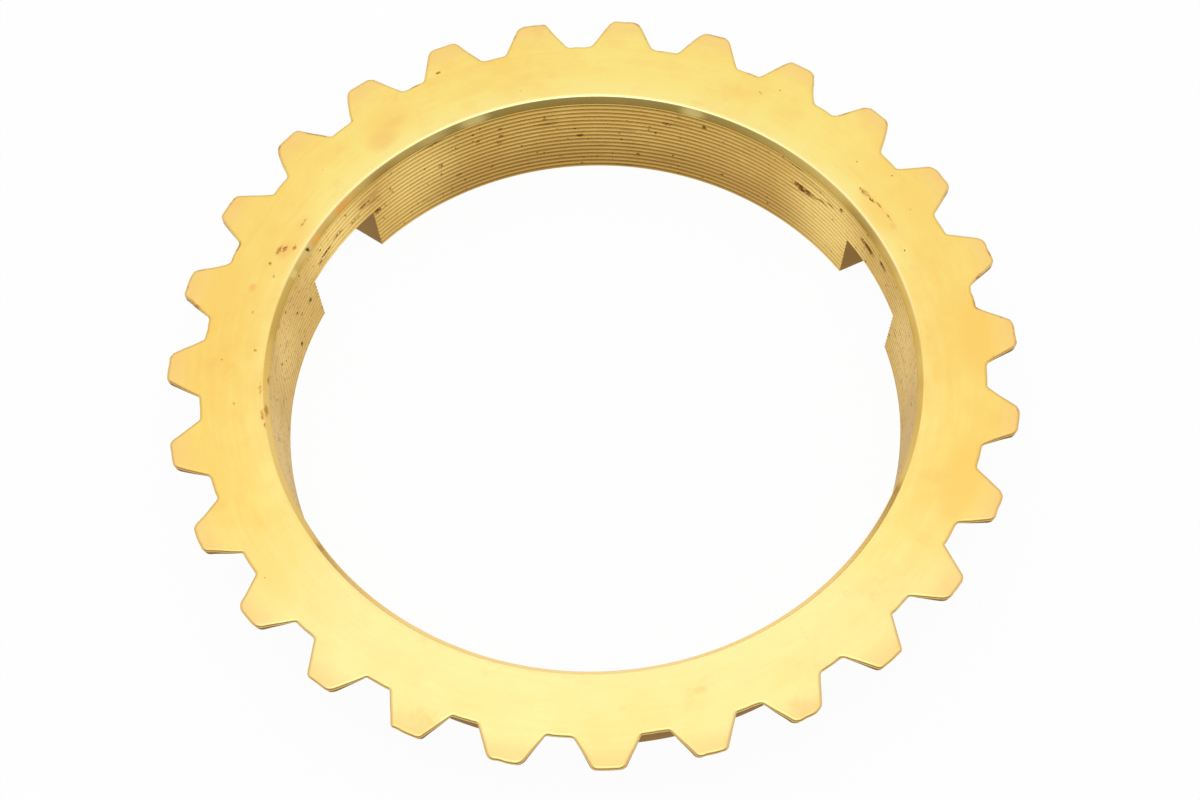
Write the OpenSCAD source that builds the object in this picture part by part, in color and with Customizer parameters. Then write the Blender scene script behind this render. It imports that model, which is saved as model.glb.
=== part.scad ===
// Synchronizer ring: a one-piece brass ring with a grooved friction cone, pointed dog teeth and key slots.
// Millimetres. The sleeve stands on z = 0, the flat toothed face is on top and the axis is Z.

/* [Friction cone] */
// Diameter of the friction cone at the toothed face
cone_d = 60.8; // [50:0.1:80]
// Angle between the cone and the axis, in degrees
cone_half_angle = 5.5; // [4:0.25:9]
// Leg of the 45 degree chamfer at the mouth of the cone
mouth_chamfer = 0.55; // [0.2:0.05:1.2]
// Axial distance from one oil-cutting groove to the next
groove_pitch = 0.57; // [0.4:0.01:1.2]
// Depth of an oil-cutting groove
groove_depth = 0.2; // [0.1:0.01:0.4]
// Width of an oil-cutting groove where it opens into the cone
groove_w = 0.3; // [0.15:0.01:0.38]

/* [Sleeve] */
// Height of the ring from the sleeve's end to the toothed face
height = 10.3; // [8:0.1:16]
// Thickness of the sleeve at the toothed face
sleeve_wall = 3.15; // [2.6:0.05:6]
// Leg of the 45 degree chamfer round the sleeve's end
end_chamfer = 0.3; // [0.1:0.05:0.8]

/* [Key slots] */
// Number of slots for the shifting keys
slots = 3; // [2:1:4]
// Width of a slot
slot_w = 9.5; // [6:0.1:14]
// Height of a slot above the sleeve's end
slot_h = 5.5; // [3:0.1:5.8]

/* [Toothed rim] */
// Distance that the rim stands out from the sleeve
rim_w = 3.35; // [2.2:0.05:5]
// Height of the straight edge of the rim between the teeth
rim_land = 0.25; // [0.15:0.05:0.6]
// Angle between the back of the rim and the axis, in degrees
rim_back_angle = 45; // [40:1:60]

/* [Dog teeth] */
// Number of dog teeth
teeth = 27; // [18:3:33]
// Height of a tooth from the rim to its tip
tooth_h = 3.1; // [2:0.1:4.5]
// Width of a tooth where it leaves the rim
tooth_root_w = 6; // [4.5:0.1:6.5]
// Width of a tooth at its tip, before its corners are rounded
tooth_tip_w = 2.7; // [2:0.1:4]
// Radius of the corners at a tooth's tip
tip_corner_r = 0.9; // [0.2:0.05:1.2]
// Radius of the fillets beside a tooth's foot
root_fillet_r = 0.45; // [0.2:0.05:0.8]
// Height of a tooth's straight flank at its foot
flank_h = 0.2; // [0.1:0.05:0.6]
// Angle between the two faces of a tooth's point, in degrees
point_angle = 145; // [90:1:150]
// Lean of the turned tip faces, in degrees
tip_taper = 20; // [0:1:25]
// Radius of the turned edge between the toothed face and the tips
tip_edge_r = 0.3; // [0.1:0.05:0.5]

/* [Hidden] */
$fn = 128;
// Segments in each small arc of a tooth's outline and of the tip edge
arc_steps = 5;
// Metal past the tips that the turned tip surface takes off
tip_stock = 0.06;
// Depth to which the teeth are rooted in the rim
bury = 0.5;
// Distance by which cutters reach past the metal
past = 1;

cone_r = cone_d / 2;
sleeve_r = cone_r + sleeve_wall;
root_r = sleeve_r + rim_w;
tip_r = root_r + tooth_h;
pitch_angle = 360 / teeth;
// Height where the back of the rim runs into the sleeve
rim_bottom = height - rim_land - rim_w / tan(rim_back_angle);
// Depth of a tooth's ridge under the toothed face
ridge_depth = flank_h + tooth_root_w / 2 / tan(point_angle / 2);
// Radius at which a tooth's ridge is safely inside the rim
foot_r = root_r - (ridge_depth - rim_land) * tan(rim_back_angle) - bury;
// Lean of a tooth's flanks from the radius through its middle, in degrees
flank_lean = atan((tooth_root_w - tooth_tip_w) / 2 / tooth_h);
// Grooves that fit between the mouth chamfer and the sleeve's end, with half a groove's width left at each
cone_length = height - mouth_chamfer;
grooves = floor((cone_length - 2 * groove_w) / groove_pitch) + 1;
first_groove = (cone_length - (grooves - 1) * groove_pitch) / 2;

// Radius of the plain cone at height z
function cone_radius(z) = cone_r - (height - z) * tan(cone_half_angle);

// Points of an arc about c from angle a to angle b
function arc(c, r, a, b) =
    [for (i = [0:arc_steps]) let (t = a + (b - a) * i / arc_steps) c + r * [cos(t), sin(t)]];

// One vee groove of the bore at height z, from its upper edge to its lower edge
function groove(z) = [
    [cone_radius(z + groove_w / 2), z + groove_w / 2],
    [cone_radius(z) + groove_depth, z],
    [cone_radius(z - groove_w / 2), z - groove_w / 2]
];

// Section of sleeve, rim and grooved cone, radius against height
function wall_section() = concat(
    [
        [cone_radius(0), 0],
        [sleeve_r - end_chamfer, 0],
        [sleeve_r, end_chamfer],
        [sleeve_r, rim_bottom],
        [root_r, height - rim_land],
        [root_r, height],
        [cone_radius(height - mouth_chamfer) + mouth_chamfer, height],
        [cone_radius(height - mouth_chamfer), height - mouth_chamfer]
    ],
    [for (i = [grooves - 1:-1:0]) each groove(first_groove + i * groove_pitch)]
);

// Middle of the fillet beside a tooth's foot: it touches the flank and the rim
function fillet_middle() = let (
    along = [cos(flank_lean), -sin(flank_lean)],
    start = [root_r, tooth_root_w / 2] + root_fillet_r * [sin(flank_lean), cos(flank_lean)],
    step = sqrt((start * along) ^ 2 - start * start + (root_r + root_fillet_r) ^ 2) - start * along
) start + step * along;

// Middle of a rounded tip corner, which touches the flank and the tip's flat
function corner_middle() = let (
    tip_x = tip_r + tip_stock,
    tip_half_w = tooth_tip_w / 2 - tip_stock * tan(flank_lean),
    radius = min(tip_corner_r, tip_half_w)
) [tip_x - radius, tip_half_w - radius * tan(45 - flank_lean / 2), radius];

// Upper half of a tooth's outline seen along the axis, from foot to tip, with the tooth along +X
function half_outline() = let (
    fillet = fillet_middle(),
    corner = corner_middle(),
    fillet_end = atan2(fillet.y, fillet.x) - 180,
    fillet_arc = arc(fillet, root_fillet_r, fillet_end, -90 - flank_lean)
) concat(
    [[foot_r, fillet.y], (1 - tip_stock / root_r) * fillet_arc[0]],
    [for (i = [1:arc_steps]) fillet_arc[i]],
    arc([corner.x, corner.y], corner[2], 90 - flank_lean, 0)
);

// Outline of a whole tooth, mirrored about its middle
function tooth_outline() = let (
    half = half_outline(),
    last = len(half) - 1
) concat(half, [for (i = [last:-1:0]) [half[i].x, -half[i].y]]);

// Cross-section of a tooth along its radius: straight flanks and a point towards the sleeve
function point_section() = let (
    half_w = tooth_root_w / 2,
    reach = half_w + root_fillet_r + past
) [
    [-reach, past], [-reach, -flank_h], [-half_w, -flank_h], [0, -ridge_depth],
    [half_w, -flank_h], [reach, -flank_h], [reach, past]
];

// Sleeve, rim and grooved cone, turned in one
module turned_wall() {
    rotate_extrude()
        polygon(wall_section());
}

// Space that the turned tips and the toothed face leave for the teeth
module turned_tips() {
    depth = ridge_depth + past;
    lean = (depth - tip_edge_r) * tan(tip_taper);
    rotate_extrude()
        polygon(concat(
            [[foot_r - past, height - depth], [tip_r - lean, height - depth]],
            arc([tip_r - tip_edge_r, height - tip_edge_r], tip_edge_r, 0, 90),
            [[foot_r - past, height]]
        ));
}

// One dog tooth along +X, pointed towards the sleeve's end
module dog_tooth() {
    translate([0, 0, height])
        intersection() {
            translate([0, 0, -ridge_depth - past])
                linear_extrude(ridge_depth + 2 * past)
                    polygon(tooth_outline());
            rotate([90, 0, 90])
                linear_extrude(tip_r + past)
                    polygon(point_section());
        }
}

// All dog teeth, with a gap between two of them over the slot at the front
module dog_teeth() {
    intersection() {
        turned_tips();
        for (i = [0:teeth - 1])
            rotate([0, 0, -90 + (i + 0.5) * pitch_angle])
                dog_tooth();
    }
}

// Slots through the sleeve for the shifting keys, the first at the front
module key_slots() {
    for (i = [0:slots - 1])
        rotate([0, 0, -90 + i * 360 / slots])
            translate([0, -slot_w / 2, -past])
                cube([tip_r + past, slot_w, slot_h + past]);
}

module synchronizer_ring() {
    color("#E2BC58")
        difference() {
            union() {
                turned_wall();
                dog_teeth();
            }
            key_slots();
        }
}

synchronizer_ring();
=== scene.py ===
"""Synchronizer ring: a one-piece turned brass ring with dog teeth, a grooved friction cone and key slots."""

import logging
import math
from collections.abc import Sequence
from dataclasses import dataclass
from enum import IntEnum
from types import SimpleNamespace
from typing import NamedTuple

import bmesh
import bpy
import numpy as np
from mathutils import Matrix, Vector


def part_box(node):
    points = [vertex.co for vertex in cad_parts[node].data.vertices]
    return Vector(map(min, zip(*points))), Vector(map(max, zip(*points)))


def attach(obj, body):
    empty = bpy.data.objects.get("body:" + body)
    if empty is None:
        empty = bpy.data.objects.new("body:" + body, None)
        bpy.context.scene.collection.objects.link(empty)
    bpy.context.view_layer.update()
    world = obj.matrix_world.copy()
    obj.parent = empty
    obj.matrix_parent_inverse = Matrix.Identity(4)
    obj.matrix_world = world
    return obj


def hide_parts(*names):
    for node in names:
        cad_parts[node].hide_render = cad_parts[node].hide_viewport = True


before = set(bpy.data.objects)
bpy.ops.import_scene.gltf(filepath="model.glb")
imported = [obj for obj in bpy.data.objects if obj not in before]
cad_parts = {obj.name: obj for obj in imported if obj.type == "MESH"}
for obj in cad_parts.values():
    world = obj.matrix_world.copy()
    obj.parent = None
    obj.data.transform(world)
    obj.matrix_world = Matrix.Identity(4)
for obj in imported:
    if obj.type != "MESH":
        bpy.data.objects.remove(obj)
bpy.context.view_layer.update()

NODE = "synchronizer_ring"
BODY = "root"
MM = 0.001
IMAGE_W = 1200
SENSOR_W = 36.0
# Points of two patches that are merged lie closer than this
MERGE = 0.002 * MM
# Radius of the circle on which tool marks are drawn, which sets how long they are
TOOL_CIRCLE = 4 * MM
LOG = logging.getLogger("synchronizer_ring")

Tree = bpy.types.NodeTree
Step = bpy.types.Node | bpy.types.NodeSocket


class Zone(IntEnum):
    """Kinds of surface on the ring, in the order of its material slots."""

    FACE = 0
    MOUTH = 1
    CONE = 2
    FLANK = 3


def linear(hex_colour: str) -> tuple[float, float, float, float]:
    """Turns an sRGB hex colour into linear red, green, blue and alpha.

    Args:
        hex_colour: Six hex digits after a hash.

    Returns:
        Linear colour with an alpha of 1.
    """
    parts = np.array([int(hex_colour[i:i + 2], 16) for i in (1, 3, 5)]) / 255
    curve = np.where(parts <= 0.04045, parts / 12.92, ((parts + 0.055) / 1.055) ** 2.4)
    return (*curve.tolist(), 1.0)


def add_node(tree: Tree, kind: str, inputs: Sequence | dict = (), **settings: object) -> bpy.types.Node:
    """Adds one shader node to a tree, with its settings, its input values and its links.

    Args:
        tree: Tree that gets the node.
        kind: Blender's name of the kind of node, without ShaderNode in front.
        inputs: Values, outputs or nodes, by the sockets' names or in the order of the sockets in use. A node
            stands for its first output in use.
        settings: Properties of the node.

    Returns:
        The new node.
    """
    node = tree.nodes.new("ShaderNode" + kind)
    for name, value in settings.items():
        setattr(node, name, value)
    sockets = [socket for socket in node.inputs if socket.enabled]
    if isinstance(inputs, dict):
        sockets = [node.inputs[name] for name in inputs]
        inputs = inputs.values()
    for socket, value in zip(sockets, inputs):
        if isinstance(value, bpy.types.Node):
            value = next(output for output in value.outputs if output.enabled)
        if isinstance(value, bpy.types.NodeSocket):
            tree.links.new(value, socket)
        else:
            socket.default_value = value
    return node


def polar(radius: np.ndarray | float, angle: np.ndarray) -> np.ndarray:
    """Gives plan points at (radius cos angle, radius sin angle)."""
    return np.stack([radius * np.cos(angle), radius * np.sin(angle)], axis=-1)


def at_height(plan: np.ndarray, z: np.ndarray | float) -> np.ndarray:
    """Puts plan points, or radii on a last axis of their own, at their heights."""
    return np.concatenate([plan, np.broadcast_to(z, plan.shape[:-1])[..., None]], axis=-1)


def blend(first: np.ndarray, last: np.ndarray, steps: int, end: bool = False) -> np.ndarray:
    """Gives values in equal steps from first towards last, on a new last axis.

    Args:
        first: Start values.
        last: End values.
        steps: Number of steps.
        end: Whether the end value itself is included.

    Returns:
        first + (last - first) u for u = 0, 1/steps, 2/steps and so on.
    """
    share = np.arange(steps + int(end)) / steps
    return first[..., None] + (last - first)[..., None] * share


@dataclass
class Patch:
    """One sheet of the ring's skin: points in mm, faces as corner numbers, its zone and its tone."""

    points: np.ndarray
    faces: list
    zone: Zone
    tone: np.ndarray


def grid_patch(points: np.ndarray, zone: Zone, closed: bool, tone: Sequence[float] | None = None) -> Patch:
    """Makes quads over a grid: (i, j) joins (i+1, j), (i+1, j+1) and (i, j+1), and j wraps when closed.

    Args:
        points: Grid of rows, columns and three coordinates.
        zone: Zone of all the quads.
        closed: Whether the last column joins the first.
        tone: Tone of each row, zero when left out.

    Returns:
        The patch.
    """
    rows, columns = points.shape[:2]
    number = np.arange(rows * columns).reshape(rows, columns)
    if closed:
        number = np.concatenate([number, number[:, :1]], axis=1)
    corners = [number[:-1, :-1], number[1:, :-1], number[1:, 1:], number[:-1, 1:]]
    faces = np.stack(corners, axis=-1).reshape(-1, 4)
    row_tone = np.zeros(rows) if tone is None else tone
    return Patch(points.reshape(-1, 3), faces.tolist(), zone, np.repeat(row_tone, columns))


@dataclass
class SynchronizerRing:
    """The ring: sizes in millimetres and angles in degrees, standing on z = 0 about the Z axis."""

    cone_d: float = 60.8
    cone_half_angle: float = 5.5
    mouth_chamfer: float = 0.55
    mouth_lap: float = 0.34
    mouth_lap_drop: float = 0.07
    mouth_lap_angle: float = 121.5
    mouth_round: float = 0.08
    mouth_crisp: float = 0.6
    mouth_crisp_angle: float = 276.5
    mouth_widening: tuple[float, float] = (0.5, 0.8)
    mouth_shallow: float = 0.2
    mouth_shallow_angles: tuple[float, float] = (198.0, 3.5)
    mouth_shallow_reach: tuple[float, float] = (20.0, 23.0)
    groove_pitch: float = 0.57
    groove_depth: float = 0.2
    groove_w: float = 0.3
    sleeve_wall: float = 3.15
    end_chamfer: float = 0.3
    slots: int = 3
    slot_w: float = 9.5
    slot_h: float = 5.5
    rim_w: float = 3.35
    rim_land: float = 0.25
    teeth: int = 27
    tooth_h: float = 3.1
    tooth_root_w: float = 6.0
    tooth_tip_w: float = 2.7
    tip_corner_r: float = 0.9
    root_fillet_r: float = 0.45
    flank_h: float = 0.2
    point_angle: float = 145.0
    tip_taper: float = 20.0
    edge_inset: float = 0.3
    edge_drop: float = 0.2
    edge_most: float = 0.8
    face_split_r: float = 34.2
    fan_w: float = 0.3
    support: float = 0.08
    corner_spread: float = 0.3
    width_spread: float = 0.09
    tip_wear: float = 0.06
    waviness: float = 0.016
    waves: int = 8
    waves_per_tooth: tuple[int, int] = (2, 9)
    seed: int = 27
    columns_per_tooth: int = 14
    fine_share: int = 3
    slot_columns: int = 9
    sharp_angle: float = 32.0

    def __post_init__(self) -> None:
        """Works out the sizes that follow from the driving ones and the frame, and the teeth's spread."""
        self.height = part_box(NODE)[1].z / MM
        self.cone_r = self.cone_d / 2
        self.sleeve_r = self.cone_r + self.sleeve_wall
        self.root_r = self.sleeve_r + self.rim_w
        self.tip_r = self.root_r + self.tooth_h
        self.rim_bottom = self.height - self.rim_land - self.rim_w
        self.roof_slope = 1 / math.tan(math.radians(self.point_angle / 2))
        self.ridge_depth = self.flank_h + self.tooth_root_w / 2 * self.roof_slope
        coarse = self.teeth * self.columns_per_tooth
        fine = coarse * self.fine_share
        self.coarse = -np.pi / 2 + 2 * np.pi * np.arange(coarse) / coarse
        self.fine = -np.pi / 2 + 2 * np.pi * np.arange(fine) / fine
        self.per_slot = coarse // self.slots
        self.tooth_angle = -np.pi / 2 + 2 * np.pi * (np.arange(self.teeth) + 0.5) / self.teeth
        rng = np.random.default_rng(self.seed)
        sides = (self.teeth, 2)
        self.corner_radii = self.tip_corner_r + self.corner_spread * rng.uniform(-1, 1, sides)
        self.root_half = self.tooth_root_w / 2 + self.width_spread * rng.uniform(-1, 1, sides) / 2
        self.tip_half = self.tooth_tip_w / 2 + self.width_spread * rng.uniform(-1, 1, sides)
        self.tips_lost = self.tip_wear * rng.uniform(0, 1, (self.teeth, 1)) * np.ones(sides)
        fewest, most = np.array(self.waves_per_tooth) * self.teeth
        turns = rng.integers(fewest, most, self.waves)[:, None] * 2 * np.pi * np.arange(fine) / fine
        starts = rng.uniform(0, 2 * np.pi, (self.waves, 1))
        self.wave = self.waviness * np.sum(np.sin(turns + starts), axis=0)

    def cone_radius(self, z: np.ndarray | float) -> np.ndarray | float:
        """Gives the radius of the plain cone at height z."""
        return self.cone_r - (self.height - z) * math.tan(math.radians(self.cone_half_angle))

    def turned_angle(self, base: np.ndarray, radius: np.ndarray | float) -> np.ndarray:
        """Moves column angles so that the slot columns lie on the slots' flat sides at any radius.

        Within a slot's sector the angle from its middle is stretched in two straight pieces: 0 to the slot's
        edge column becomes 0 to asin(slot_w / 2 radius), and the rest fills the sector.

        Args:
            base: Evenly spaced column angles.
            radius: Radius of the points.

        Returns:
            The moved angles.
        """
        sector = 2 * np.pi / self.slots
        edge = sector * self.slot_columns / self.per_slot
        middle = -np.pi / 2 + sector * np.round((base + np.pi / 2) / sector)
        away = np.abs(base - middle)
        side = np.arcsin(self.slot_w / 2 / radius)
        inside = away * side / edge
        outside = side + (away - edge) * (sector / 2 - side) / (sector / 2 - edge)
        return middle + np.sign(base - middle) * np.where(away <= edge, inside, outside)

    def sweep(self, profile: np.ndarray, base: np.ndarray) -> np.ndarray:
        """Carries a profile of radius and height round the axis.

        Args:
            profile: Rows of radius and height, or rows by columns of them where the profile varies.
            base: Evenly spaced column angles.

        Returns:
            Grid of points, one row per profile point and one column per angle.
        """
        rows = profile if profile.ndim == 3 else profile[:, None]
        grid = np.broadcast_to(rows, (len(rows), len(base), 2))
        plan = polar(grid[..., 0], self.turned_angle(base[None, :], grid[..., 0]))
        return at_height(plan, grid[..., 1])

    def half_outlines(self, lean: float) -> tuple[np.ndarray, np.ndarray]:
        """Gives the outline of both halves of every tooth, from its tip's middle to the middle of a gap.

        A tip arc, a corner arc, a straight flank, a fillet and a root arc share their tangents. The corner's
        middle lies at (c - r) across the flank and the fillet's at (c + r), where c is the distance of the
        flank's line from the axis, and Pythagoras gives how far along the flank they lie.

        Args:
            lean: Distance by which the tips are drawn in.

        Returns:
            Points and outward normals by tooth, side and place, the tooth along +X and its side along +Y.
        """
        tip_r = self.tip_r - self.tips_lost - lean
        slope = np.arctan((self.root_half - self.tip_half) / self.tooth_h)
        across = np.stack([np.sin(slope), np.cos(slope)], axis=-1)
        along = np.stack([np.cos(slope), -np.sin(slope)], axis=-1)
        distance = self.root_r * across[..., 0] + self.root_half * across[..., 1]
        corner_r = self.corner_radii
        corner_s = np.sqrt((tip_r - corner_r) ** 2 - (distance - corner_r) ** 2)
        fillet_r = self.root_fillet_r
        fillet_s = np.sqrt((self.root_r + fillet_r) ** 2 - (distance + fillet_r) ** 2)
        corner = (distance - corner_r)[..., None] * across + corner_s[..., None] * along
        fillet = (distance + fillet_r)[..., None] * across + fillet_s[..., None] * along
        corner_turn = np.arctan2(corner[..., 1], corner[..., 0])
        fillet_turn = np.arctan2(fillet[..., 1], fillet[..., 0])
        gap_turn = np.full_like(corner_turn, np.pi / self.teeth)
        tip = blend(np.zeros_like(corner_turn), corner_turn, 3)
        bend = blend(corner_turn, np.pi / 2 - slope, 5)
        run = blend(corner_s, fillet_s, 5)
        hollow = blend(-np.pi / 2 - slope, fillet_turn - np.pi, 4)
        root = blend(fillet_turn, gap_turn, 4, end=True)
        flank = distance[..., None, None] * across[..., None, :] + run[..., None] * along[..., None, :]
        points = [
            polar(tip_r[..., None], tip),
            corner[..., None, :] + polar(corner_r[..., None], bend),
            flank,
            fillet[..., None, :] + polar(fillet_r, hollow),
            polar(self.root_r, root),
        ]
        normals = [
            polar(1.0, tip),
            polar(1.0, bend),
            np.broadcast_to(across[..., None, :], flank.shape),
            -polar(1.0, hollow),
            polar(1.0, root),
        ]
        return np.concatenate(points, axis=2), np.concatenate(normals, axis=2)

    def outline(self, lean: float) -> tuple[np.ndarray, np.ndarray]:
        """Joins all halves into one closed outline, anticlockwise from the gap over the front slot.

        A sum of small sine waves moves the points in along their normals, so that no edge is quite straight.

        Args:
            lean: Distance by which the tips are drawn in.

        Returns:
            Points and outward normals in plan, one for each fine column.
        """
        turn_cos = np.cos(self.tooth_angle)[:, None]
        turn_sin = np.sin(self.tooth_angle)[:, None]
        joined = []
        for halves in self.half_outlines(lean):
            right = halves[:, 1, :0:-1] * np.array([1, -1])
            whole = np.concatenate([right, halves[:, 0, :-1]], axis=1)
            turned_x = turn_cos * whole[..., 0] - turn_sin * whole[..., 1]
            turned_y = turn_sin * whole[..., 0] + turn_cos * whole[..., 1]
            joined.append(np.stack([turned_x, turned_y], axis=-1).reshape(-1, 2))
        points, normals = joined
        return points + np.minimum(self.wave, 0)[:, None] * normals, normals

    def back_depth(self, plan: np.ndarray) -> tuple[np.ndarray, np.ndarray]:
        """Gives the depth under the toothed face of a tooth's pointed back and of the rim's conical back.

        The tooth's two roof faces fall from its ridge with the distance from its middle line. The rim's back
        falls one for one with the distance inside the root circle.

        Args:
            plan: Plan points with the fine columns on the second last axis.

        Returns:
            Depth of the roof and depth of the cone.
        """
        angle = np.repeat(self.tooth_angle, self.columns_per_tooth * self.fine_share)
        off_middle = np.abs(plan[..., 1] * np.cos(angle) - plan[..., 0] * np.sin(angle))
        roof = self.ridge_depth - off_middle * self.roof_slope
        cone = self.rim_land + self.root_r - np.hypot(plan[..., 0], plan[..., 1])
        return roof, cone

    def toothed_rim(self) -> tuple[list[Patch], np.ndarray, np.ndarray]:
        """Makes the outer face, the rounded edges, the flanks and the backs of the teeth and the rim.

        Rows run from a circle on the face to the outline, over the edge on a quarter ellipse, down the
        flanks, which lean inwards at the tips, and back under the teeth to the sleeve. One row follows the
        line where a tooth's roof meets the rim's conical back.

        Returns:
            The patches, the innermost row on the face and the lowest row on the sleeve.
        """
        lean_step = 0.3
        plan, normal = self.outline(0.0)
        drawn_in = (self.outline(lean_step)[0] - plan) / lean_step
        start = polar(self.face_split_r, self.turned_angle(self.fine, self.face_split_r))
        taper = math.tan(math.radians(self.tip_taper))
        low = plan
        for _ in range(2):
            side_depth = np.maximum(*self.back_depth(low))
            drop = np.minimum(self.edge_drop, self.edge_most * side_depth)
            low = plan + drawn_in * ((side_depth - drop) * taper)[:, None]
        support = plan - (self.edge_inset + self.support) * normal
        share = np.array([0.0, 0.4, 0.75, 1.0])[:, None, None]
        flat = np.concatenate([start + (support - start) * share, (plan - self.edge_inset * normal)[None]])
        bend = np.radians(np.linspace(18.0, 90.0, 5))[:, None]
        edge = plan - (self.edge_inset * (1 - np.sin(bend)))[..., None] * normal
        edge = at_height(edge, self.height - drop * (1 - np.cos(bend)))
        down = drop + (side_depth - drop) * (np.arange(1, 4) / 3)[:, None]
        side = at_height(plan + drawn_in * ((down - drop) * taper)[..., None], self.height - down)
        face = np.concatenate([at_height(flat, self.height), edge])
        flank = np.concatenate([edge[-1:], side, self.rim_back(low)])
        # The edge rows' tone starts at 0.2, so that the face's painted shade on the rounded edge begins at
        # once.
        face_tone = np.concatenate([np.zeros(len(flat)), np.linspace(0.2, 1.0, len(edge))])
        # Tone rises from 1 to 2 under the teeth, where the flank's finish paints shade
        flank_tone = 1 + np.minimum(np.arange(len(flank)) / len(side), 1.0)
        face_patch = grid_patch(face, Zone.FACE, True, face_tone)
        flank_patch = grid_patch(flank, Zone.FLANK, True, flank_tone)
        return [face_patch, flank_patch], face[0], flank[-1]

    def rim_back(self, low: np.ndarray) -> np.ndarray:
        """Carries the lower edge of the outline in under the teeth to the sleeve.

        Each column is a straight line in plan. Its rows lie on both sides of the point where the cone of the
        rim's back becomes deeper than the tooth's roof.

        Args:
            low: Plan points of the lower edge of the outline.

        Returns:
            Points by row.
        """
        steps, nearest, farthest = 200, 0.06, 0.9
        end = polar(self.sleeve_r, self.turned_angle(self.fine, self.sleeve_r))
        share = np.linspace(0, 1, steps)[:, None]
        roof, cone = self.back_depth(low + (end - low) * share[..., None])
        first_cone = np.argmax(cone >= roof, axis=0)
        meet = np.clip(share[first_cone, 0], nearest, farthest)
        near = meet * (np.arange(1, 5) / 4)[:, None]
        far = meet + (1 - meet) * (np.arange(1, 6) / 5)[:, None]
        plan = low + (end - low) * np.concatenate([near, far])[..., None]
        return at_height(plan, self.height - np.maximum(*self.back_depth(plan)))

    def fan_strip(self, fine_row: np.ndarray, coarse_row: np.ndarray, zone: Zone, tone: float) -> Patch:
        """Joins a fine row to a coarse one: each coarse step takes a triangle, a quad and a triangle.

        Args:
            fine_row: Points of the fine row.
            coarse_row: Points of the coarse row.
            zone: Zone of the faces.
            tone: Tone of all the points.

        Returns:
            The patch.
        """
        step = np.arange(len(coarse_row))
        near = len(fine_row) + step
        far = len(fine_row) + (step + 1) % len(coarse_row)
        first = step * self.fine_share
        last = (first + self.fine_share) % len(fine_row)
        left = np.stack([near, first, first + 1], axis=-1)
        middle = np.stack([near, first + 1, first + 2, far], axis=-1)
        right = np.stack([far, first + 2, last], axis=-1)
        points = np.concatenate([fine_row, coarse_row])
        faces = left.tolist() + middle.tolist() + right.tolist()
        return Patch(points, faces, zone, np.full(len(points), tone))

    def groove_profile(self) -> tuple[np.ndarray, np.ndarray]:
        """Gives the vee grooves of the cone from the mouth down, as many as fit with a half width to spare.

        Returns:
            Rows of radius and height, three per groove, and their tone: 1 at the bottom of a groove.
        """
        length = self.height - self.mouth_chamfer
        count = math.floor((length - 2 * self.groove_w) / self.groove_pitch) + 1
        top = (length + (count - 1) * self.groove_pitch) / 2
        middle = top - self.groove_pitch * np.arange(count)
        z = (middle[:, None] + self.groove_w / 2 * np.array([1.0, 0.0, -1.0])).ravel()
        deep = np.tile([0.0, 1.0, 0.0], count)
        return np.stack([self.cone_radius(z) + self.groove_depth * deep, z], axis=-1), deep

    def worn_mouth(self) -> tuple[np.ndarray, np.ndarray]:
        """Gives the worn edge of the mouth and its chamfer, which vary round the ring.

        The face laps down to the mouth as a parabola, by a drop that falls with the cosine from one angle.
        The edge is rounded, least where it is crisp, with the square of the cosine. The chamfer is shallower
        about two angles, and its rise u^2 (3 - 2 u) falls with the cosine's share u between the two reaches.

        Returns:
            Radius and height of the lap's rows and of the chamfer's rows, by row and column.
        """
        lapped = (1 + np.cos(self.coarse - math.radians(self.mouth_lap_angle))) / 2
        crisp = np.maximum(np.cos(self.coarse - math.radians(self.mouth_crisp_angle)), 0) ** 2
        towards = self.coarse - np.radians(np.array(self.mouth_shallow_angles))[:, None]
        full, whole = np.cos(np.radians(np.array(self.mouth_shallow_reach)))
        share = np.clip((np.cos(towards) - whole) / (full - whole), 0, 1)
        rise = self.mouth_shallow * np.sum(share ** 2 * (3 - 2 * share), axis=0)
        bend = self.mouth_round * (1 - self.mouth_crisp * crisp)
        wide, narrower = self.mouth_widening
        full_z = self.height - self.mouth_chamfer
        edge_r = self.cone_radius(full_z) + self.mouth_chamfer + self.mouth_round * (wide - narrower * crisp)
        lap = np.linspace(0.0, 1.0, 7)[:, None]
        lap_r = edge_r + self.mouth_lap * (1 - lap)
        lap_z = self.height - self.mouth_lap_drop * lapped * lap ** 2
        low_z = full_z + rise
        low_r = self.cone_radius(low_z)
        fall = bend * (lap_z[-1] - low_z) / (edge_r - low_r)
        upper = np.array([[0.0, 0.0], [0.5, 0.35], [1.0, 0.9]])[..., None]
        lower = np.array([[1.0, 1.0], [0.3, 0.2]])[..., None]
        last_z = low_z - 0.4 * bend
        size = np.array([bend, fall])
        chamfer = np.concatenate([
            np.array([edge_r, lap_z[-1]]) - upper * size,
            np.array([low_r, low_z]) + lower * size,
            np.array([[self.cone_radius(last_z), last_z]]),
        ])
        return np.stack([lap_r, lap_z], axis=-1), chamfer.transpose(0, 2, 1)

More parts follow.
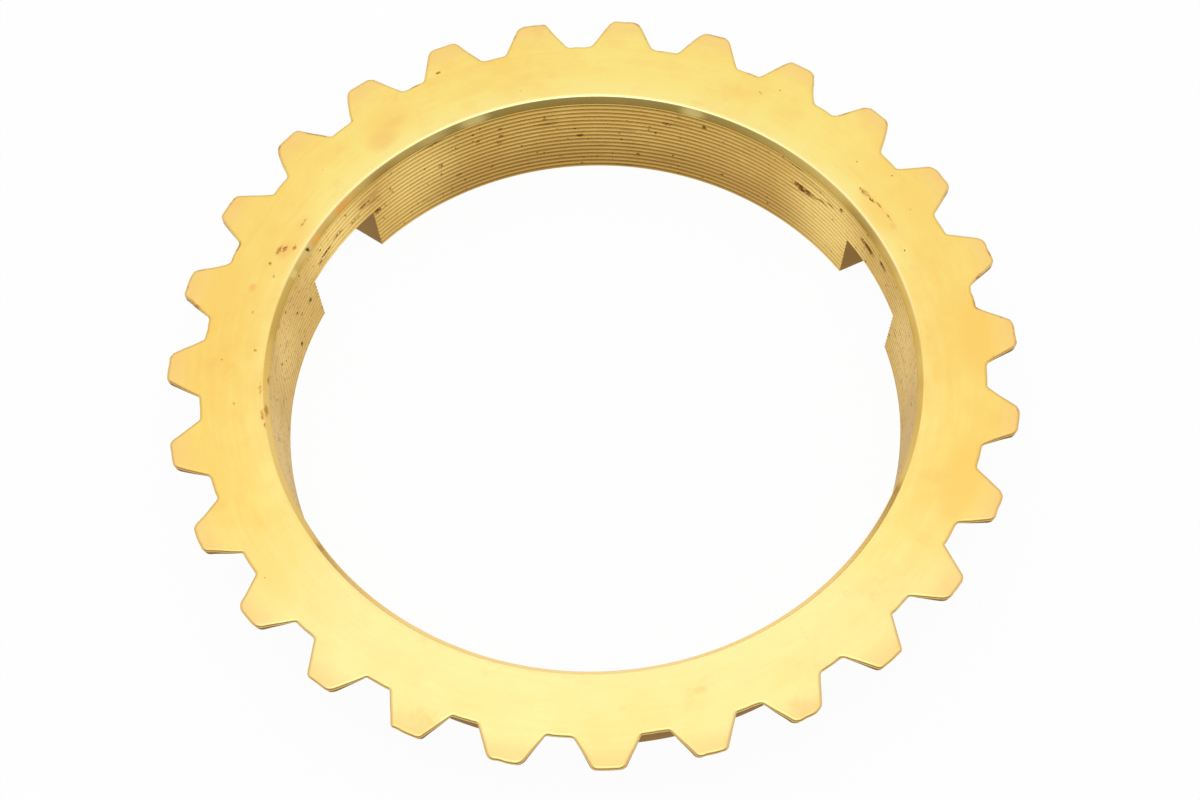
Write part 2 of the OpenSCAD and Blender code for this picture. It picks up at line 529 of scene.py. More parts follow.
    def wall_patches(self, face_row: np.ndarray, sleeve_row: np.ndarray) -> list[Patch]:
        """Makes the inner face, the mouth chamfer, the grooved cone, the sleeve, its end and the key slots.

        The profile is swept whole above the slots and in arcs between them below. Each slot gets a flat roof
        and two flat ends, whose outline is the section of the sleeve.

        Args:
            face_row: Innermost row of the toothed rim's face.
            sleeve_row: Lowest row of the toothed rim's back.

        Returns:
            The patches.
        """
        grooves, deep = self.groove_profile()
        lap_rows, mouth_rows = self.worn_mouth()
        inward = np.linspace(0.0, 1.0, 4)[:, None]
        lap_start = lap_rows[0, :, 0] + self.support
        flat_r = (self.face_split_r - self.fan_w) * (1 - inward) + lap_start * inward
        flat_rows = at_height(flat_r[..., None], self.height)
        inner_face = self.sweep(np.concatenate([flat_rows, lap_rows]), self.coarse)
        edge_r = np.interp(self.slot_h, grooves[::-1, 1], grooves[::-1, 0])
        edge_tone = np.interp(self.slot_h, grooves[::-1, 1], deep[::-1])
        above = grooves[:, 1] > self.slot_h
        slot_edge = np.array([[edge_r, self.slot_h]])
        under_mouth = np.concatenate([grooves[above], slot_edge])[:, None]
        upper_bore = np.concatenate([mouth_rows[-1:], np.repeat(under_mouth, len(self.coarse), axis=1)])
        upper_tone = np.concatenate([[0.0], deep[above], [edge_tone]])
        foot = (self.cone_radius(0.0), 0.0)
        lower_bore = np.concatenate([slot_edge, grooves[~above], [foot]])
        lower_tone = np.concatenate([[edge_tone], deep[~above], [0.0]])
        outside_r = self.sleeve_r
        end_r = outside_r - self.end_chamfer
        outside = np.linspace((outside_r, self.slot_h), (outside_r, self.end_chamfer), 4)
        chamfer = np.array([[outside_r, self.end_chamfer], [end_r, 0.0]])
        end_face = np.linspace((end_r, 0.0), foot, 4)
        roof = np.linspace((outside_r, self.slot_h), (edge_r, self.slot_h), 5)
        collar_rows = np.array([[outside_r, self.rim_bottom - self.fan_w], [outside_r, self.slot_h]])
        collar = self.sweep(collar_rows, self.coarse)
        # Tone 1 on the mouth's second row carries the chamfer's painted highlight on the far side
        mouth_tone = (0.0, 1.0, 0.3, 0.0, 0.0, 0.0)
        patches = [
            self.fan_strip(face_row, inner_face[0], Zone.FACE, 0.0),
            grid_patch(inner_face, Zone.FACE, True),
            grid_patch(self.sweep(mouth_rows, self.coarse), Zone.MOUTH, True, mouth_tone),
            grid_patch(self.sweep(upper_bore, self.coarse), Zone.CONE, True, upper_tone),
            # Tone 2 where the rim's back meets the sleeve carries the flank's painted shade
            self.fan_strip(sleeve_row, collar[0], Zone.FLANK, 2.0),
            grid_patch(collar, Zone.FLANK, True, (2.0, 1.0)),
        ]
        section = np.concatenate([outside, chamfer[1:], end_face[1:], lower_bore[-2::-1], roof[-2:0:-1]])
        end_tone = np.array([1.0, 1.0, 1.0, 0.0])
        roof_tone = np.array([1.0, 1.0, 1.0, 1.0, edge_tone])
        section_tone = np.concatenate([np.ones(5), end_tone[1:], lower_tone[-2::-1], np.ones(3)])
        step = self.coarse[1] - self.coarse[0]
        for slot in range(self.slots):
            middle = self.coarse[0] + slot * self.per_slot * step
            across = middle + step * np.arange(-self.slot_columns, self.slot_columns + 1)
            between = middle + step * np.arange(self.slot_columns, self.per_slot - self.slot_columns + 1)
            strips = (
                (roof, across, Zone.FLANK, roof_tone),
                (lower_bore, between, Zone.CONE, lower_tone),
                (end_face, between, Zone.FLANK, end_tone),
                (chamfer, between, Zone.FLANK, np.ones(2)),
                (outside, between, Zone.FLANK, np.ones(4)),
            )
            for rows, base, zone, tone in strips:
                patches.append(grid_patch(self.sweep(rows, base), zone, False, tone))
            for end in (across[:1], across[-1:]):
                wall = self.sweep(section, end)[:, 0]
                patches.append(Patch(wall, [list(range(len(wall)))], Zone.FLANK, section_tone))
        return patches

    def build(self, materials: list[bpy.types.Material]) -> bpy.types.Object:
        """Joins all patches into one closed mesh with a material for each zone and a tone attribute.

        Args:
            materials: Materials in the order of the zones.

        Returns:
            The ring's object.
        """
        patches, face_row, sleeve_row = self.toothed_rim()
        patches += self.wall_patches(face_row, sleeve_row)
        first = np.cumsum([0] + [len(patch.points) for patch in patches])
        faces = []
        zones = []
        for patch, offset in zip(patches, first):
            faces += [[corner + int(offset) for corner in face] for face in patch.faces]
            zones += [int(patch.zone)] * len(patch.faces)
        mesh = bpy.data.meshes.new("synchronizer_ring_skin")
        mesh.from_pydata(np.concatenate([patch.points for patch in patches]) * MM, [], faces)
        mesh.polygons.foreach_set("material_index", zones)
        tone = mesh.attributes.new("tone", "FLOAT", "POINT")
        tone.data.foreach_set("value", np.concatenate([patch.tone for patch in patches]))
        self.close(mesh)
        for material in materials:
            mesh.materials.append(material)
        ring = bpy.data.objects.new("ring_skin", mesh)
        bpy.context.collection.objects.link(ring)
        return ring

    def close(self, mesh: bpy.types.Mesh) -> None:
        """Merges the patches' shared points, turns all faces outwards and marks the sharp edges.

        Args:
            mesh: Mesh of loose patches.
        """
        work = bmesh.new()
        work.from_mesh(mesh)
        bmesh.ops.remove_doubles(work, verts=work.verts, dist=MERGE)
        bmesh.ops.recalc_face_normals(work, faces=work.faces)
        open_edges = sum(1 for edge in work.edges if not edge.is_manifold)
        LOG.info("open edges %d, volume %.1f cubic mm", open_edges, work.calc_volume() / MM ** 3)
        work.to_mesh(mesh)
        work.free()
        mesh.polygons.foreach_set("use_smooth", np.ones(len(mesh.polygons), dtype=bool))
        mesh.set_sharp_from_angle(angle=math.radians(self.sharp_angle))


class Mark(NamedTuple):
    """A stain, a nick or another patch, some of them painted reflections: angle about the axis in degrees,
    place and reach in mm, and strength.
    """

    angle: float
    radius: float
    z: float
    along: float
    across: float
    strength: float


# Stains on the face
FACE_MARKS = [Mark(*row) for row in (
    (118.9, 37.14, 10.3, 0.38, 0.17, 1.0), (153.7, 32.46, 10.3, 0.7, 0.14, 0.5),
    (159.6, 32.57, 10.3, 0.55, 0.24, 0.75), (160.3, 33.0, 10.3, 0.9, 0.38, 0.45),
    (158.7, 31.76, 10.3, 0.6, 0.32, 0.45), (163.2, 33.11, 10.3, 0.3, 0.24, 0.75),
    (41.7, 32.58, 10.3, 0.55, 0.28, 1.0), (40.9, 32.62, 10.3, 1.1, 0.5, 0.35),
    (39.4, 32.67, 10.3, 0.8, 0.17, 0.9), (37.7, 32.9, 10.3, 0.7, 0.14, 0.75),
    (34.9, 32.95, 10.3, 1.0, 0.12, 0.6), (41.0, 35.91, 10.3, 0.16, 0.14, 1.0),
    (34.3, 35.18, 10.3, 0.16, 0.14, 1.0), (27.9, 32.42, 10.3, 0.14, 0.12, 0.9),
    (46.4, 34.37, 10.3, 0.12, 0.12, 0.8), (66.7, 35.13, 10.3, 0.3, 0.14, 0.8),
    (107.2, 32.38, 10.3, 0.14, 0.12, 0.8), (143.8, 34.65, 10.3, 0.14, 0.12, 0.8),
    (165.3, 32.27, 10.3, 0.25, 0.2, 0.5), (172.7, 32.99, 10.3, 0.3, 0.2, 0.4),
    (179.9, 31.88, 10.3, 0.2, 0.25, 0.45), (181.9, 34.96, 10.3, 0.2, 0.18, 0.6),
    (189.8, 33.64, 10.3, 0.2, 0.18, 0.55), (187.6, 31.17, 10.3, 1.2, 0.25, 0.35),
    (192.6, 31.08, 10.3, 0.9, 0.35, 0.5), (194.6, 30.95, 10.25, 0.5, 0.25, 0.6),
)]
# Where the tarnish of the face is deepest
FACE_DEEPS = [Mark(*row) for row in (
    (10.0, 36.2, 10.3, 10.0, 4.2, 0.85), (34.0, 36.2, 10.3, 8.0, 3.6, 0.6),
    (-14.0, 36.0, 10.3, 10.0, 4.0, 0.8), (36.0, 32.4, 10.3, 5.0, 2.0, 0.6),
    (10.0, 32.4, 10.3, 6.0, 1.6, 0.35), (170.0, 36.4, 10.3, 9.0, 4.2, 0.75),
    (158.0, 32.4, 10.3, 6.0, 2.0, 0.6), (130.0, 34.8, 10.3, 5.0, 3.0, 0.5),
    (202.0, 36.8, 10.3, 8.0, 3.8, 0.6), (219.0, 36.0, 10.3, 7.0, 3.2, 0.4),
)]
# Pink flushes on the face
FACE_FLUSHES = [Mark(*row) for row in (
    (132.9, 33.2, 10.3, 2.4, 1.6, 0.45), (129.5, 34.2, 10.3, 2.0, 0.9, 0.3),
    (159.8, 32.5, 10.3, 1.5, 1.0, 0.5), (153.7, 32.5, 10.3, 1.0, 0.4, 0.4),
    (168.3, 33.78, 10.3, 0.7, 0.5, 0.8), (33.0, 32.75, 10.3, 0.6, 0.45, 0.5),
    (38.5, 32.8, 10.3, 2.2, 0.3, 0.3), (-69.0, 33.8, 10.3, 1.2, 0.5, 0.3),
)]
# Stains and nicks on the cone
CONE_MARKS = [Mark(*row) for row in (
    (51.6, 30.1, 6.85, 2.0, 0.7, 0.9), (49.0, 30.12, 7.05, 1.3, 0.3, 0.65),
    (46.6, 30.15, 7.3, 0.9, 0.32, 0.8), (44.6, 30.2, 7.9, 0.9, 0.32, 0.7),
    (42.1, 30.25, 8.66, 0.35, 0.28, 1.0), (33.5, 30.2, 8.0, 1.8, 0.5, 1.0),
    (28.0, 30.25, 8.7, 1.0, 0.35, 0.9), (142.3, 30.15, 7.58, 1.2, 0.25, 0.65),
    (145.3, 30.1, 6.85, 1.2, 0.25, 0.6), (150.1, 30.15, 7.33, 1.4, 0.3, 0.75),
    (154.2, 30.1, 7.06, 1.4, 0.3, 0.75), (139.8, 29.95, 5.2, 0.6, 0.5, 1.0),
    (86.1, 29.7, 2.2, 0.35, 0.3, 1.0), (97.2, 29.95, 4.9, 0.6, 0.4, 0.9),
    (112.2, 30.2, 7.88, 0.4, 0.25, 0.8), (73.5, 30.3, 8.52, 0.35, 0.28, 1.0),
    (78.4, 30.3, 9.0, 0.4, 0.25, 0.8), (80.6, 30.2, 7.68, 0.9, 0.35, 0.7),
    (103.7, 30.2, 7.84, 0.5, 0.3, 0.7), (112.7, 30.0, 5.93, 0.5, 0.3, 0.8),
    (124.9, 30.0, 5.74, 0.4, 0.35, 0.8), (121.6, 29.75, 3.1, 0.5, 0.4, 0.6),
    (112.3, 30.06, 6.74, 0.4, 0.3, 0.8), (116.9, 30.08, 6.97, 0.35, 0.25, 0.7),
    (114.8, 29.65, 2.47, 0.3, 0.25, 0.6), (125.3, 30.35, 9.6, 0.35, 0.25, 0.7),
    (135.2, 30.28, 9.0, 0.3, 0.25, 0.8), (156.1, 30.06, 6.8, 0.6, 0.3, 0.9),
    (162.0, 29.83, 4.4, 0.5, 0.45, 1.0), (165.6, 29.86, 4.7, 0.24, 0.22, 0.9),
    (166.8, 29.98, 5.9, 0.24, 0.22, 0.9), (168.7, 29.59, 1.85, 0.35, 0.4, 1.0),
    (169.3, 29.99, 6.05, 0.25, 0.22, 0.7), (172.4, 29.93, 5.45, 0.3, 0.25, 0.6),
    (177.8, 29.97, 5.85, 0.25, 0.22, 0.8), (185.2, 29.73, 3.3, 0.25, 0.25, 0.8),
    (186.8, 30.16, 7.8, 0.3, 0.3, 1.0), (-5.7, 30.3, 9.1, 0.25, 0.22, 0.9),
)]
# Where the lands of the cone are painted brighter, towards the sides: a painted reflection
CONE_SHEENS = [Mark(*row) for row in (
    (45.0, 30.2, 5.2, 8.0, 8.0, 1.0), (151.0, 30.2, 7.5, 7.0, 5.0, 1.0),
    (175.0, 30.2, 6.0, 5.0, 6.0, 0.5), (130.0, 30.2, 5.5, 6.5, 8.0, 0.8),
    (197.0, 30.2, 7.0, 9.0, 7.0, 0.45), (13.0, 30.2, 6.0, 6.0, 7.0, 0.5),
)]
# Where the grooves of the cone are painted darker
CONE_DARK_GROOVES = [Mark(*row) for row in (
    (41.0, 30.2, 7.5, 9.0, 7.0, 0.85), (152.0, 30.2, 7.5, 5.0, 3.5, 0.4),
)]
# Stains on the chamfer of the mouth
MOUTH_MARKS = [Mark(*row) for row in (
    (157.8, 30.63, 10.05, 0.3, 0.3, 1.0), (144.7, 30.4, 10.05, 0.25, 0.2, 0.9),
    (185.4, 30.5, 9.9, 0.8, 0.3, 0.42), (191.6, 30.73, 10.1, 1.1, 0.35, 0.42),
)]
# Where the chamfer is rubbed bright
MOUTH_RUBS = [Mark(*row) for row in (
    (76.0, 30.6, 10.0, 1.8, 0.9, 1.0), (117.0, 30.6, 10.0, 2.2, 0.9, 0.9),
    (125.0, 30.6, 10.0, 2.4, 0.9, 0.4), (147.5, 30.6, 10.0, 2.4, 0.9, 0.5),
    (158.0, 30.6, 10.0, 2.4, 0.9, 0.5), (163.4, 30.7, 10.0, 0.7, 0.6, 0.9),
)]
# Where the chamfer is dull
MOUTH_DULLS = [Mark(*row) for row in (
    (36.5, 30.6, 10.0, 4.5, 0.9, 0.8), (137.0, 30.6, 10.0, 2.6, 0.9, 0.6),
)]
# Where the chamfer is warm in colour
MOUTH_WARM = [Mark(*row) for row in (
    (147.0, 30.6, 10.0, 2.0, 1.2, 1.0), (155.3, 30.6, 10.0, 1.0, 1.0, 1.0),
)]


class Fade(NamedTuple):
    """A change in step with a source: from first to last, while the source goes from start to end."""

    source: str
    start: float | Step = 0.0
    end: float = 1.0
    first: float = 0.0
    last: float | Step = 1.0
    course: str = "SMOOTHSTEP"
    kind = "MapRange"

    def inputs(self, value: Step) -> tuple:
        """Gives the node's inputs for a value of the source."""
        return (value, self.start, self.end, self.first, self.last)

    def settings(self) -> dict[str, str]:
        """Gives the node's settings."""
        return {"interpolation_type": self.course}


class Grain(NamedTuple):
    """A noise over coordinates: size of its grains in mm, finer layers, their strength and a draw."""

    source: str
    size: float
    detail: float = 3.0
    roughness: float = 0.5
    draw: float | None = None
    kind = "TexNoise"

    def inputs(self, place: Step) -> tuple:
        """Gives the node's inputs at a place."""
        draw = () if self.draw is None else (self.draw,)
        return (place, *draw, 1 / (self.size * MM), self.detail, self.roughness)

    def settings(self) -> dict[str, str]:
        """Gives the node's settings."""
        return {"noise_dimensions": "3D" if self.draw is None else "4D"}


class Specks(NamedTuple):
    """Specks: the width of a cell and a speck's largest radius in mm, and the share of cells with one."""

    cell: float
    size: float
    share: float


# A mark's ragged edge: its noise, how far it strays, and how the mark fades within its reach
MARK_EDGE = Grain("place", 0.3)
MARK_STRAY = 0.4 * MM
MARK_FADE = Fade("reach", 1.0, 0.2)
# Pits that hold a stain
STAIN_PITS = Grain("place", 0.4, 5.0, 0.7)
STAIN_FADE = Fade("pits", 0.36, 0.56, first=0.25)
# Strength of dirt at which its film and its dark layer show
FILM_FADE = Fade("dirt", 0.0, 0.5, last=0.65)
DIRT_FADE = Fade("dirt", 0.3, 0.95, last=0.82)
# Sizes and strengths of specks, as shares of the largest and strongest
SPECK_SIZES = Fade("draw", first=0.45, course="LINEAR")
SPECK_STRENGTHS = Fade("draw", first=0.5, course="LINEAR")


def add_pattern(tree: Tree, pattern: Fade | Grain, value: Step) -> bpy.types.Node:
    """Adds a pattern over a value of its source."""
    return add_node(tree, pattern.kind, pattern.inputs(value), **pattern.settings())


def join_masks(tree: Tree, operation: str, masks: Sequence[Step]) -> Step:
    """Joins any number of masks into one.

    Args:
        tree: Material's tree.
        operation: MAXIMUM for what any of them shows, MULTIPLY for what all of them show.
        masks: The masks, 0 to 1.

    Returns:
        The joined mask.
    """
    joined = masks[0]
    for mask in masks[1:]:
        joined = add_node(tree, "Math", (joined, mask), operation=operation)
    return joined


def lay_coats(tree: Tree, ground: Step | str, coats: Sequence[tuple[Step, Step | str]]) -> Step:
    """Lays coats of colour over a ground, each by its mask: ground (1 - mask) + colour mask.

    Args:
        tree: Material's tree.
        ground: Colour under the coats, in hex or as a pattern.
        coats: Mask and colour of each coat, from the lowest up.

    Returns:
        The colour.
    """
    for mask, colour in coats:
        layers = [linear(layer) if isinstance(layer, str) else layer for layer in (ground, colour)]
        ground = add_node(tree, "Mix", (mask, *layers), data_type="RGBA")
    return ground


def mark_mask(tree: Tree, place: Step, marks: Sequence[Mark]) -> Step:
    """Gives the strength of the strongest mark at a place.

    Each mark is an ellipsoid with a ragged edge. It fades in its own turned and scaled coordinates, where
    its reach is 1.

    Args:
        tree: Material's tree.
        place: Object coordinates.
        marks: The marks.

    Returns:
        The strength, 0 to 1.
    """
    ragged = add_pattern(tree, MARK_EDGE, place).outputs["Color"]
    centred = add_node(tree, "VectorMath", (ragged, (0.5, 0.5, 0.5)), operation="SUBTRACT")
    moved = add_node(tree, "VectorMath", (centred, (MARK_STRAY,) * 3, place), operation="MULTIPLY_ADD")
    masks = []
    for mark in marks:
        turn = math.radians(mark.angle)
        middle = (mark.radius * MM * math.cos(turn), mark.radius * MM * math.sin(turn), mark.z * MM)
        reach = (mark.across * MM, mark.along * MM, mark.across * MM)
        own = add_node(tree, "Mapping", (moved, middle, (0, 0, turn), reach), vector_type="TEXTURE")
        away = add_node(tree, "VectorMath", (own,), operation="LENGTH")
        masks.append(add_pattern(tree, MARK_FADE._replace(last=mark.strength), away))
    return join_masks(tree, "MAXIMUM", masks)


def stain_mask(tree: Tree, place: Step, marks: Sequence[Mark]) -> Step:
    """Breaks marks up into irregular dots and smears, as dirt sits in pits: marks times fine raised noise.

    Args:
        tree: Material's tree.
        place: Object coordinates.
        marks: The marks.

    Returns:
        The mask, 0 to 1.
    """
    broken = add_pattern(tree, STAIN_FADE, add_pattern(tree, STAIN_PITS, place))
    return join_masks(tree, "MULTIPLY", (mark_mask(tree, place, marks), broken))


def speck_mask(tree: Tree, place: Step, specks: Specks) -> Step:
    """Gives small specks: spots of uneven size and strength in the middle of a share of Voronoi cells.

    Args:
        tree: Material's tree.
        place: Object coordinates.
        specks: Their sizes and number.

    Returns:
        The mask, 0 to 1.
    """
    cells = add_node(tree, "TexVoronoi", (place, 1 / (specks.cell * MM)))
    chance, size, force = add_node(tree, "SeparateColor", (cells.outputs["Color"],)).outputs
    largest = specks.size / specks.cell
    reach = add_pattern(tree, SPECK_SIZES._replace(first=SPECK_SIZES.first * largest, last=largest), size)
    strength = add_pattern(tree, SPECK_STRENGTHS, force)
    spot = add_pattern(tree, Fade("cells", reach, 0.0, last=strength), cells.outputs["Distance"])
    chosen = add_node(tree, "Math", (chance, specks.share), operation="LESS_THAN")
    return join_masks(tree, "MULTIPLY", (spot, chosen))


def dirt_coats(tree: Tree, mask: Step, film: str, dirt: str) -> list[tuple[Step, str]]:
    """Makes two coats of dirt: a translucent film where the mask starts and dark dirt where it is strong.

    Args:
        tree: Material's tree.
        mask: Strength of the dirt, 0 to 1.
        film: Colour of the film.
        dirt: Colour of the dirt.

    Returns:
        Mask and colour of both.
    """
    return [(add_pattern(tree, FILM_FADE, mask), film), (add_pattern(tree, DIRT_FADE, mask), dirt)]


@dataclass(frozen=True)
class Dressing:
    """What the shader gets: colour, masks that roughen it with their shares, and its relief's height."""

    colour: Step
    rough: list[tuple[Step, float]]
    relief: Step


@dataclass(frozen=True)
class BrassFinish:
    """What all finishes of the ring share: bare brass is a metal, so its colour is that of its reflections.

    Patterns read object coordinates (place, y, z and aside, the distance from the middle plane), the radius
    in metres, the skin's tone, and round_it for tool marks, which is long round the axis and short across.
    """

    name: str
    roughness: float
    relief: float
    relief_mm: float

    def material(self) -> bpy.types.Material:
        """Makes the material: lays the finish's noises and fades in the order of its fields and dresses it.

        Returns:
            The material.
        """
        material = bpy.data.materials.new(self.name)
        material.use_nodes = True
        tree = material.node_tree
        tree.nodes.clear()
        place = add_node(tree, "TexCoord").outputs["Object"]
        x, y, z = add_node(tree, "SeparateXYZ", (place,)).outputs
        aside = add_node(tree, "Math", (x,), operation="ABSOLUTE")
        plan = add_node(tree, "VectorMath", (place, (1, 1, 0)), operation="MULTIPLY")
        radius = add_node(tree, "VectorMath", (plan,), operation="LENGTH")
        circle = add_node(tree, "VectorMath", (plan,), operation="NORMALIZE")
        lift = add_node(tree, "Math", (radius, z), operation="ADD")
        raised = add_node(tree, "CombineXYZ", {"Z": lift})
        circle_size = (TOOL_CIRCLE, TOOL_CIRCLE, 0)
        round_it = add_node(tree, "VectorMath", (circle, circle_size, raised), operation="MULTIPLY_ADD")
        tone = add_node(tree, "Attribute", attribute_name="tone").outputs["Fac"]
        at = SimpleNamespace(place=place, aside=aside, y=y, z=z, radius=radius, round_it=round_it, tone=tone)
        for name, pattern in vars(self).items():
            if isinstance(pattern, (Fade, Grain)):
                setattr(at, name, add_pattern(tree, pattern, getattr(at, pattern.source)))
        worn = self.dress(tree, at)
        rough: float | Step = self.roughness
        for mask, share in worn.rough:
            rough = add_node(tree, "Math", (mask, share, rough), operation="MULTIPLY_ADD")
        bumps = {"Strength": self.relief, "Distance": self.relief_mm * MM, "Height": worn.relief}
        brass = {"Base Color": worn.colour, "Metallic": 1.0, "Roughness": rough,
                 "Normal": add_node(tree, "Bump", bumps)}
        add_node(tree, "OutputMaterial", {"Surface": add_node(tree, "BsdfPrincipled", brass)})
        return material

    def dress(self, tree: Tree, at: SimpleNamespace) -> Dressing:
        """Puts the finish's patterns together.

        Args:
            tree: Material's tree.
            at: Coordinates and patterns by name.

        Returns:
            What the shader gets.
        """
        raise NotImplementedError


@dataclass(frozen=True)
class TurnedFace(BrassFinish):
    """Brass, fine turned and left bare: warm gold with faint rings, cloudy tarnish, specks and stains; a
    painted sheen, painted edge shade and a painted lip highlight.
    """

    name: str = "bare_brass_fine_turned"
    roughness: float = 0.3
    relief: float = 0.25
    relief_mm: float = 0.02
    pale: str = "#FFF0A4"
    gold: str = "#FFE786"
    deep: str = "#FDD06C"
    peach: str = "#FBD086"
    blush: str = "#F8C070"
    # Colour of the painted shade on the rounded edges, stronger towards the front
    edge: str = "#EABC70"
    # Colour of the painted highlight on the lap of the mouth, on the far side
    lip_highlight: str = "#FFF4C4"
    film: str = "#B8661A"
    dirt: str = "#583006"
    cloud: Grain = Grain("place", 13.0)
    # Turning marks are too fine to show, so these rings are drawn as coarse as they need to be
    rings: Grain = Grain("round_it", 0.55, 2.0)
    mottle: Grain = Grain("place", 2.2, 4.0, 0.6)
    flush: Grain = Grain("place", 5.0, 5.0, 0.65, draw=3.0)
    burrs: Grain = Grain("place", 1.8, 4.0, 0.65)
    inner: Fade = Fade("radius", 33.8 * MM, 31.2 * MM, last=0.4)
    side: Fade = Fade("aside", 18 * MM, 34 * MM, last=0.3)
    outer: Fade = Fade("radius", 31.2 * MM, 35 * MM, last=0.2)
    tips: Fade = Fade("radius", 37.2 * MM, 39.6 * MM, last=0.55)
    flushed: Fade = Fade("flush", 0.55, 0.75, last=0.45)
    near: Fade = Fade("y", 25 * MM, -5 * MM, 0.3, 0.65)
    lapped: Fade = Fade("radius", 31.2 * MM, 31.0 * MM, last=0.6)
    far: Fade = Fade("y", 4 * MM, 16 * MM)
    ripped: Fade = Fade("burrs", 0.5, 0.68, last=0.55)
    rear: Fade = Fade("y", -14 * MM, 4 * MM)
    # The face is painted paler and less tarnished towards the front, ragged by the clouds: a painted sheen.
    front_way: tuple[float, float, float] = (0.11, -0.99, 0.0)
    front_cloud: float = 24 * MM
    front_range: tuple[float, float] = (22 * MM, 38 * MM)
    front_left: float = 0.5
    cloud_share: tuple[float, float] = (1.3, -0.6)
    ring_share: tuple[float, float] = (0.6, -0.3)
    mottle_share: tuple[float, float] = (0.8, -0.4)
    edge_power: float = 0.4
    specks: Specks = Specks(2.6, 0.2, 0.3)
    tarnish_rough: float = 0.1
    dirt_rough: float = 0.25

    def dress(self, tree: Tree, at: SimpleNamespace) -> Dressing:
        """Lays pale and deep gold over each other in clouds and rings, paler towards the front as a painted
        sheen, then painted edge shade, a painted lip highlight, specks and stains.

        Args:
            tree: Material's tree.
            at: Coordinates and patterns by name.

        Returns:
            What the shader gets.
        """
        # worn is that painted sheen towards the front, not wear.
        front = add_node(tree, "VectorMath", (at.place, self.front_way), operation="DOT_PRODUCT")
        ragged = add_node(tree, "Math", (at.cloud, self.front_cloud, front), operation="MULTIPLY_ADD")
        worn = add_pattern(tree, Fade("front", *self.front_range), ragged)
        left = add_pattern(tree, Fade("worn", first=1.0, last=self.front_left, course="LINEAR"), worn)
        uneven = at.side
        shares = (at.cloud, self.cloud_share), (at.rings, self.ring_share), (at.mottle, self.mottle_share)
        for noise, share in shares:
            spread = add_node(tree, "Math", (noise, *share), operation="MULTIPLY_ADD")
            uneven = add_node(tree, "Math", (uneven, spread), operation="ADD")
        whole = add_node(tree, "Math", (uneven, at.outer), operation="ADD", use_clamp=True)
        thinned = join_masks(tree, "MULTIPLY", (whole, left))
        tarnish = join_masks(tree, "MAXIMUM", (thinned, mark_mask(tree, at.place, FACE_DEEPS)))
        edge = add_node(tree, "Math", (at.tone, self.edge_power), operation="POWER")
        dirt = join_masks(tree, "MAXIMUM", (
            speck_mask(tree, at.place, self.specks),
            stain_mask(tree, at.place, FACE_MARKS),
            join_masks(tree, "MULTIPLY", (at.ripped, edge, at.rear)),
        ))
        colour = lay_coats(tree, self.gold, [
            # Pale gold: the painted sheen towards the front, and wear near the mouth.
            (join_masks(tree, "MAXIMUM", (worn, at.inner)), self.pale),
            (tarnish, self.deep),
            (at.tips, self.peach),
            (join_masks(tree, "MAXIMUM", (at.flushed, mark_mask(tree, at.place, FACE_FLUSHES))), self.blush),
            # Painted shade on the rounded edges, stronger towards the front
            (join_masks(tree, "MULTIPLY", (edge, at.near)), self.edge),
            # Painted highlight on the lap of the mouth, on the far side
            (join_masks(tree, "MULTIPLY", (at.lapped, at.far)), self.lip_highlight),
            *dirt_coats(tree, dirt, self.film, self.dirt),
        ])
        return Dressing(colour, [(tarnish, self.tarnish_rough), (dirt, self.dirt_rough)], at.rings)


@dataclass(frozen=True)
class TurnedMouth(BrassFinish):
    """Brass, chamfered at the lathe: a smooth band, duller where it is tarnished, with a worn upper edge
    that carries a painted highlight.
    """

    name: str = "bare_brass_chamfered"
    roughness: float = 0.21
    relief: float = 0.2
    relief_mm: float = 0.01
    tarnished: str = "#E0B75B"
    sallow: str = "#E6C466"
    # Colour by which the chamfer is painted paler towards the front: painted light that lifts its shade
    open_tan: str = "#FFD880"
    rubbed: str = "#F1CB72"
    bright: str = "#FFEA96"
    dulled: str = "#B08A3C"
    warm: str = "#FFBA56"
    # Colour of the painted highlight on the chamfer's upper edge, on the far side
    edge: str = "#FBE3A0"
    film: str = "#A8661A"
    dirt: str = "#583006"
    patches: Grain = Grain("place", 7.0)
    # Turning marks again, coarser than real ones so that they show
    rings: Grain = Grain("round_it", 0.25, 2.0)
    rub: Fade = Fade("patches", 0.48, 0.72)
    back: Fade = Fade("y", 12 * MM, 27 * MM)
    front: Fade = Fade("y", 4 * MM, -10 * MM)
    far: Fade = Fade("y", -4 * MM, 12 * MM)
    specks: Specks = Specks(1.6, 0.16, 0.25)
    patch_rough: float = 0.1
    bare_rough: float = 0.3

    def dress(self, tree: Tree, at: SimpleNamespace) -> Dressing:
        """Rubs spots bright and warms a few along the band, pales it towards the front as painted light,
        paints a highlight on its upper edge at the far side and adds specks.

        Args:
            tree: Material's tree.
            at: Coordinates and patterns by name.

        Returns:
            What the shader gets.
        """
        bare = mark_mask(tree, at.place, MOUTH_RUBS)
        spots = (speck_mask(tree, at.place, self.specks), mark_mask(tree, at.place, MOUTH_MARKS))
        colour = lay_coats(tree, self.tarnished, [
            (at.back, self.sallow),
            (at.rub, self.rubbed),
            # Painted light: the chamfer paler towards the front
            (at.front, self.open_tan),
            (mark_mask(tree, at.place, MOUTH_DULLS), self.dulled),
            (bare, self.bright),
            (mark_mask(tree, at.place, MOUTH_WARM), self.warm),
            # Painted highlight on the upper edge, on the far side only
            (join_masks(tree, "MULTIPLY", (at.tone, at.far)), self.edge),
            *dirt_coats(tree, join_masks(tree, "MAXIMUM", spots), self.film, self.dirt),
        ])
        return Dressing(colour, [(at.patches, self.patch_rough), (bare, self.bare_rough)], at.rings)


